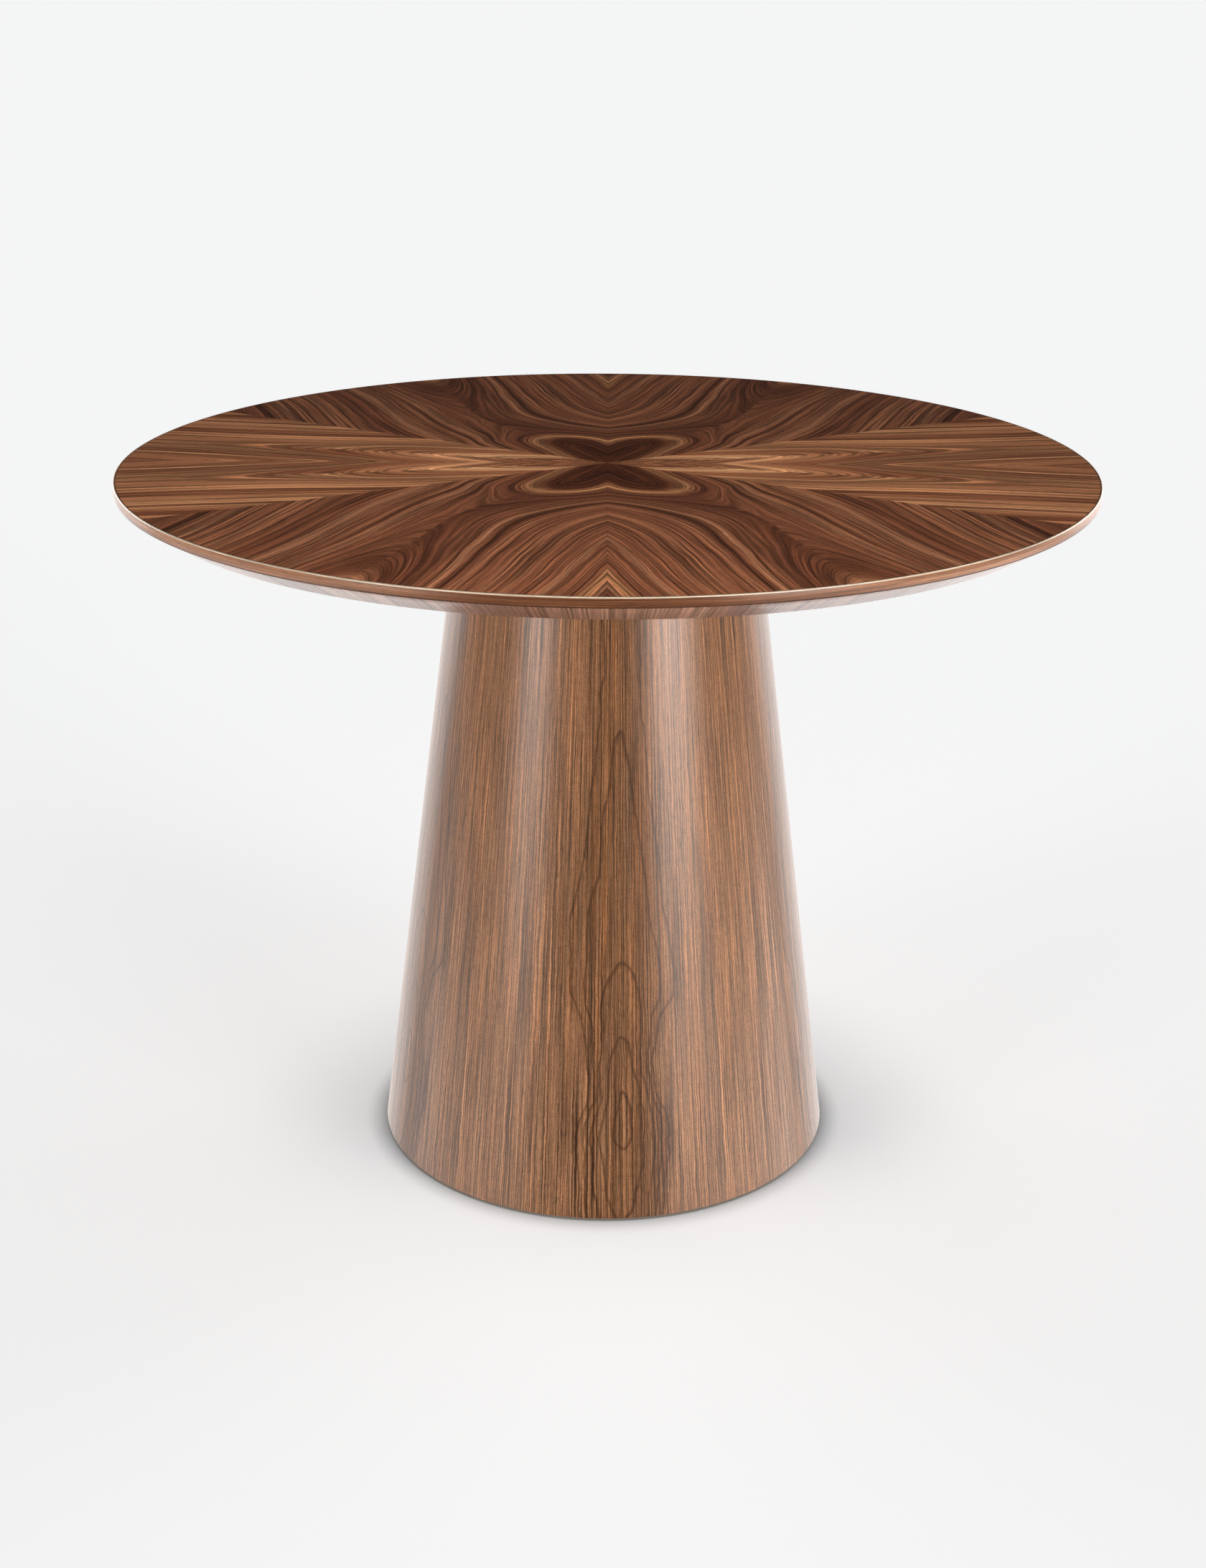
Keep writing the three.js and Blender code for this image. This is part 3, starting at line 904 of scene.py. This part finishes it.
def pedestal_leaf(name, start, sweep):
    """One tapered leaf of veneer on the cone, with an eased foot edge."""
    eased = 0.3 * MM
    bands = 12
    outer = []
    for i in range(bands + 1):
        height = PEDESTAL_BOTTOM + eased + (PEDESTAL_TOP - PEDESTAL_BOTTOM - eased) * i / bands
        outer.append((FOOT_RADIUS - CONE_SLOPE * (height - PEDESTAL_BOTTOM), height))
    outline = [(FOOT_RADIUS - CONE_VENEER, PEDESTAL_BOTTOM), (FOOT_RADIUS - eased, PEDESTAL_BOTTOM)]
    outline += outer
    outline.append((HEAD_RADIUS - CONE_VENEER, PEDESTAL_TOP))
    inset = math.degrees(SEAM / 2 / FOOT_RADIUS)
    bm = revolved(outline, start + inset, sweep - 2 * inset)
    centre = start + sweep / 2

    def grain(point, middle):
        turn = bearing_of(point) - centre
        turn -= 360 * round(turn / 360)
        return point.z / PEDESTAL_TOP, turn

    lay_grain(bm, grain)
    return to_object(name, bm)


def build_pedestal(veneer):
    """Lays the leaves of veneer round the cone."""
    sweep = 360 / PEDESTAL_LEAVES
    for i in range(PEDESTAL_LEAVES):
        leaf = pedestal_leaf(f"cone_veneer_{i + 1}", PEDESTAL_START + i * sweep, sweep)
        show(leaf, "table", veneer, "pedestal_walnut", f"pedestal_leaf_{i + 1}")


# ---- Fittings ---------------------------------------------------------------------------

# The M8 thread, and how many rows each of its turns is drawn with.
THREAD_RADIUS = 4 * MM
THREAD_ROOT = 3.4 * MM
PITCH = 1.25 * MM
THREAD_ROWS = 6

# The spanner size of its hexagons, and the middle and radius of the foot's ball.
ACROSS_FLATS = 13 * MM
BALL_HEIGHT = 5.2 * MM
BALL_RADIUS = 4 * MM

# Sides of each turned fitting.
SIDES = 48


def middle_of(node):
    """The point under the middle of a node, at floor height."""
    return ((low(node, 0) + high(node, 0)) / 2, (low(node, 1) + high(node, 1)) / 2, 0)


def ring(radius, height):
    """A plain row of a turned piece."""
    return lambda turn: (radius, height)


def rings(points):
    """Plain rows through (radius, height) points."""
    return [ring(radius, height) for radius, height in points]


def turned_piece(name, node, rows, hollow=False):
    """A turned solid on a node's axis.  Each row gives radius and height for a turn."""
    bm = bmesh.new()
    turns = [i / SIDES for i in range(SIDES)]
    loops = []
    for row in rows:
        points = [on_axis(*row(turn), math.tau * turn) for turn in turns]
        loops.append([bm.verts.new(point) for point in points])
    pairs = list(zip(loops, loops[1:]))
    if hollow:
        pairs.append((loops[-1], loops[0]))
    for below, above in pairs:
        for i in range(SIDES):
            k = (i + 1) % SIDES
            bm.faces.new((below[i], below[k], above[k], above[i]))
    if not hollow:
        bm.faces.new(list(reversed(loops[0])))
        bm.faces.new(loops[-1])
    bmesh.ops.translate(bm, verts=bm.verts, vec=middle_of(node))
    return to_object(name, bm)


def hexagon(flats, bottom, top):
    """The rows of a hexagon whose corners are turned off at both ends."""
    turned_off = 0.97 * flats / 2

    def corner(turn):
        return flats / 2 / math.cos(math.radians((360 * turn) % 60 - 30))

    def drop(turn):
        return (corner(turn) - turned_off) * math.tan(math.radians(30))

    return [
        ring(turned_off, bottom),
        lambda turn: (corner(turn), bottom + drop(turn)),
        lambda turn: (corner(turn), top - drop(turn)),
        ring(turned_off, top),
    ]


def thread(bottom, top):
    """The rows of an external screw thread, in a right-hand helix."""

    def flank(height):
        def row(turn):
            share = ((height - bottom) / PITCH - turn) % 1
            crest = min(1.0, max(0.0, 2.4 * abs(share - 0.5) - 0.1))
            return THREAD_ROOT + (THREAD_RADIUS - THREAD_ROOT) * crest, height

        return row

    count = round((top - bottom) / PITCH * THREAD_ROWS)
    return [flank(bottom + (top - bottom) * i / count) for i in range(count + 1)]


def foot_pad(name, node):
    """A moulded pad: rounded edges, a dished top, and a snap socket for the ball."""
    radius = (high(node, 0) - low(node, 0)) / 2
    top = high(node)
    eased = 1.5 * MM
    dish = 0.6 * MM
    socket = BALL_RADIUS + 0.3 * MM
    groove = 0.5 * MM
    groove_inner = 11 * MM
    groove_outer = 13.2 * MM
    dish_inner = 6.5 * MM
    dish_outer = 15.5 * MM
    mouth = math.degrees(math.asin((top - BALL_HEIGHT) / socket))
    outline = [(groove_inner, 0), (groove_inner + 0.4 * MM, groove)]
    outline += [(groove_outer - 0.4 * MM, groove), (groove_outer, 0)]
    outline += arc((radius - eased, eased), eased, -90, 0)
    outline += arc((radius - eased, top - eased), eased, 0, 90)
    outline += [(dish_outer, top), (dish_outer - 1 * MM, top - dish)]
    outline += [(dish_inner + 1 * MM, top - dish), (dish_inner, top)]
    outline += arc((0, BALL_HEIGHT), socket, mouth, -88, 10)
    return turned_piece(name, node, rings(outline))


def foot_stem(name, node):
    """Ball, neck, spanner hexagon and thread, in one piece of steel."""
    top = high(node)
    neck = 2.6 * MM
    hexagon_bottom = 9.0 * MM
    hexagon_top = 11.8 * MM
    shoulder = math.degrees(math.acos(neck / BALL_RADIUS))
    rows = rings(arc((0, BALL_HEIGHT), BALL_RADIUS, -88, shoulder, 12))
    rows += rings([(neck, hexagon_bottom)])
    rows += hexagon(ACROSS_FLATS, hexagon_bottom, hexagon_top)
    rows += rings([(THREAD_ROOT, hexagon_top)])
    rows += thread(hexagon_top + 0.3 * MM, top - 0.6 * MM)
    rows += rings([(THREAD_ROOT - 0.5 * MM, top)])
    return turned_piece(name, node, rows)


def foot_insert(name, node):
    """A flanged drive-in nut: barbed body and a countersunk mouth."""
    bottom = low(node)
    flange_top = bottom + 1.8 * MM
    top = high(node)
    bore = THREAD_RADIUS + 0.1 * MM
    flange = 9 * MM
    eased = 0.3 * MM
    barb = 6.5 * MM
    body = barb - 0.6 * MM
    barbs = 4
    outline = [(bore, bottom + 0.7 * MM), (bore + 0.7 * MM, bottom)]
    outline += arc((flange - eased, bottom + eased), eased, -90, 0, 3)
    outline += arc((flange - eased, flange_top - eased), eased, 0, 90, 3)
    for i in range(barbs):
        height = flange_top + (top - flange_top) * (i + 0.4) / barbs
        outline += [(body, height), (barb, height + 0.3 * MM)]
    outline += [(body, top), (bore, top)]
    return turned_piece(name, node, rings(outline), hollow=True)


def top_bolt(name, node):
    """A hexagon bolt with a washer face under its head."""
    bottom = low(node)
    head_top = bottom + 5.3 * MM
    top = high(node)
    rows = hexagon(ACROSS_FLATS, bottom, head_top - 0.2 * MM)
    shank_top = head_top + 8 * MM
    rows += rings([(5.8 * MM, head_top), (THREAD_RADIUS, head_top), (THREAD_RADIUS, shank_top)])
    rows += thread(shank_top + 1 * MM, top - 0.8 * MM)
    rows += rings([(THREAD_ROOT - 0.5 * MM, top)])
    return turned_piece(name, node, rows)


def top_washer(name, node):
    """A stamped washer, rounded where the punch went in."""
    eased = 0.4 * MM
    bottom = low(node)
    top = high(node)
    radius = (high(node, 0) - low(node, 0)) / 2
    bore = THREAD_RADIUS + 0.3 * MM
    outline = [(bore, bottom + 0.2 * MM), (bore + 0.3 * MM, bottom)]
    outline += arc((radius - eased, bottom + eased), eased, -90, 0)
    outline += [(radius, top - 0.1 * MM), (radius - 0.1 * MM, top), (bore, top)]
    return turned_piece(name, node, rings(outline), hollow=True)


def top_insert(name, node):
    """A screw-in brass nut, with coarse knife threads round the outside."""
    bottom = low(node)
    top = high(node)
    bore = THREAD_RADIUS + 0.1 * MM
    knife_edge = 6 * MM
    body = knife_edge - 0.7 * MM
    flank = 0.5 * MM
    turns = 6
    outline = [(bore, bottom + 0.5 * MM), (bore + 0.5 * MM, bottom), (body, bottom)]
    for i in range(turns):
        height = bottom + (top - bottom) * (i + 0.5) / turns
        outline += [(body, height - flank), (knife_edge, height), (body, height + flank)]
    outline += [(body, top), (bore, top)]
    return turned_piece(name, node, rings(outline), hollow=True)


def build_fittings(zinc, brass, nylon):
    """Builds each fitting four times; its CAD node has the function's name."""
    for i in range(1, FITTINGS + 1):
        fittings = [
            (foot_pad, f"pad_{i}", nylon, "nylon"),
            (foot_stem, f"stem_{i}", zinc, "zinc_steel"),
            (foot_insert, "table", zinc, "zinc_steel"),
            (top_bolt, "table", zinc, "zinc_steel"),
            (top_washer, "table", zinc, "zinc_steel"),
            (top_insert, "table", brass, "brass"),
        ]
        for build, body, material, slot in fittings:
            node = f"{build.__name__}_{i}"
            show(build(f"{node}_turned", node), body, material, slot, node)


# ---- Stage --------------------------------------------------------------------------------


PALE_STUDIO = (0.91, 0.91, 0.91, 1)
FLOOR_REACH = 120


def add_floor():
    """A pale floor that glows from within, so that cast shadows stay faint, with shadow painted
    into its glow close to the foot.

    It lies just under the pads, so that neither surface shows through the other.
    """
    bm = bmesh.new()
    bmesh.ops.create_grid(bm, x_segments=1, y_segments=1, size=FLOOR_REACH)
    floor = to_object("studio_floor", bm, smooth=False)
    s = Shader("pale_floor", roughness=1.0, specular=0.0)
    x, y = s.place()[:2]
    dust = s.noise(s.scaled(x, 3), s.scaled(y, 3), detail=3)
    grey = s.scaled(dust, 0.01, 0.69)

    def covered(distance):
        nearness = s.add("ShaderNodeAmbientOcclusion", samples=16)
        nearness.inputs["Distance"].default_value = distance
        return s.calc("SUBTRACT", 1.0, nearness.outputs["AO"])

    # Painted shadow: the glow is dimmed where ambient occlusion finds the foot near, less in front
    # of it, more on the right, and hardest right at the foot.
    beside = s.scaled(s.fade(y, -0.27, -0.05), 0.66, 0.16)
    beside = s.calc("MULTIPLY", beside, s.scaled(x, 0.6, 1.0))
    shaded = s.calc("MULTIPLY", covered(0.2), beside)
    contact = s.scaled(covered(0.027), 1.3)
    glow = []
    # The red is shaded a little more than the blue, against the wood's warm bounce.
    for share in (1.12, 1.0, 0.93):
        left = s.calc("SUBTRACT", s.scaled(shaded, -share, 1.0), contact)
        glow.append(s.calc("MAXIMUM", left, 0.0))
    s.plug(s.vector(*glow), s.surface.inputs["Emission Color"])
    s.surface.inputs["Emission Strength"].default_value = 0.6
    colour = s.vector(s.scaled(grey, 0.975), s.scaled(grey, 0.99), grey)
    floor.data.materials.append(s.finish(colour))
    s.see_through_from_behind()
    floor.visible_glossy = False
    floor.location.z = -0.1 * MM


def add_front_box(lit_pieces):
    """A soft box over the front edge, which lights the given pieces only."""
    place = Vector((0, -1.3, 1.75))
    target = Vector((0, -0.25, 0.75))
    data = bpy.data.lights.new("front_box", "AREA")
    data.shape = "RECTANGLE"
    data.size = 1.0
    data.size_y = 0.5
    data.energy = 25
    light = bpy.data.objects.new("front_box", data)
    light.location = place
    light.rotation_euler = (target - place).to_track_quat("-Z", "Y").to_euler()
    light.visible_camera = False
    bpy.context.scene.collection.objects.link(light)
    lit = bpy.data.collections.new("lit_by_front_box")
    for piece in lit_pieces:
        lit.objects.link(piece)
    light.light_linking.receiver_collection = lit


def add_world():
    """A dim studio: soft boxes at both sides, and white wings low round the table.

    What lies under the horizon only shows in the lacquer, because the floor hides
    it from everything else.  The camera sees the studio pale all over.
    """
    world = bpy.data.worlds.new("studio")
    world.use_nodes = True
    bpy.context.scene.world = world
    n = Nodes(world.node_tree)
    spot = n.add("ShaderNodeTexCoord")
    x, y, z = n.split(spot.outputs["Generated"])
    turn = n.calc("DEGREES", n.calc("ARCTAN2", x, n.calc("MULTIPLY", y, -1)))
    bearing = n.calc("ABSOLUTE", turn)
    rise = n.calc("DEGREES", n.calc("ARCSINE", z))
    right = n.calc("SIGN", turn)

    def between(value, start, end, soft):
        first = n.fade(value, start - soft, start)
        return n.calc("MULTIPLY", first, n.fade(value, end + soft, end))

    def patch(turns, heights, soft, strength, around=bearing):
        """Light between two bearings, on both sides, and two heights, in degrees."""
        wide = between(around, *turns, soft)
        tall = between(rise, *heights, soft)
        return n.calc("MULTIPLY", n.calc("MULTIPLY", wide, tall), strength)

    fading = n.scaled(n.fade(rise, -15, 1), 0.9, 0.1)
    # In turn: the left and right soft boxes; the white wings, low at the sides and
    # low behind; a glow from straight below; two panels behind at eye level; and two
    # dim ones high at the sides.
    patches = [
        patch((-55, -42), (-24, 14), 6, n.scaled(fading, 9.5), turn),
        patch((34, 55), (-24, 14), 7, n.scaled(fading, 12.5), turn),
        patch((62, 116), (-40, -17), 6, n.scaled(right, 0.3, 2.4)),
        patch((130, 180), (-38, -8), 8, n.scaled(right, 0.1, 1.7)),
        patch((0, 180), (-90, -46), 8, 0.5),
        patch((120, 150), (0, 10), 12, 5.0),
        patch((60, 125), (30, 50), 10, n.scaled(right, 0.2, 1.0)),
    ]
    light = 0.03
    for area in patches:
        light = n.calc("ADD", light, area)
    path = n.add("ShaderNodeLightPath")
    seen = n.blend(path.outputs["Is Camera Ray"], n.vector(light, light, light), PALE_STUDIO)
    n.plug(seen, n.tree.nodes["Background"].inputs["Color"])


def add_camera():
    """Stands in front, at a standing eye's height, looking down at the table."""
    data = bpy.data.cameras.new("camera")
    data.sensor_width = 36
    data.lens = 51.7
    data.clip_end = 300
    camera = bpy.data.objects.new("camera", data)
    eye = (0, -2.32506, 1.2843)
    pitch = math.radians(20.779)
    # Both in radians.
    roll = 0.006069
    yaw = 0.0012987
    turn = Matrix.Rotation(yaw, 4, "Z") @ Matrix.Rotation(math.pi / 2 - pitch, 4, "X")
    turn = turn @ Matrix.Rotation(roll, 4, "Z")
    camera.matrix_world = Matrix.Translation(eye) @ turn
    bpy.context.scene.collection.objects.link(camera)
    bpy.context.scene.camera = camera


# ---- Assembly -------------------------------------------------------------------------------

add_camera()
add_floor()
add_world()
bpy.context.scene.view_settings.view_transform = "Standard"

face_pieces = build_top(
    dark_leaf_material(),
    golden_leaf_material(),
    edge_band_material(),
    undercut_material(),
)
build_pedestal(pedestal_material())

build_fittings(zinc_material(), brass_material(), nylon_material())

PLYWOOD = plywood_material()
BENT_PLYWOOD = bent_panel_material()

# CAD nodes that are shown as they are, with these materials.
CARRIED_OVER = {
    "top_core": fibreboard_material(),
    "underside_backer": plain_veneer_material(),
    "deck": PLYWOOD,
    "middle_ring": PLYWOOD,
    "bottom_ring": PLYWOOD,
}
for i in range(1, PANELS + 1):
    CARRIED_OVER[f"shell_panel_{i}"] = BENT_PLYWOOD
    CARRIED_OVER[f"rib_{i}"] = PLYWOOD
for node, material in CARRIED_OVER.items():
    nodes[node].data.materials.clear()
    nodes[node].data.materials.append(material)

add_front_box(face_pieces)
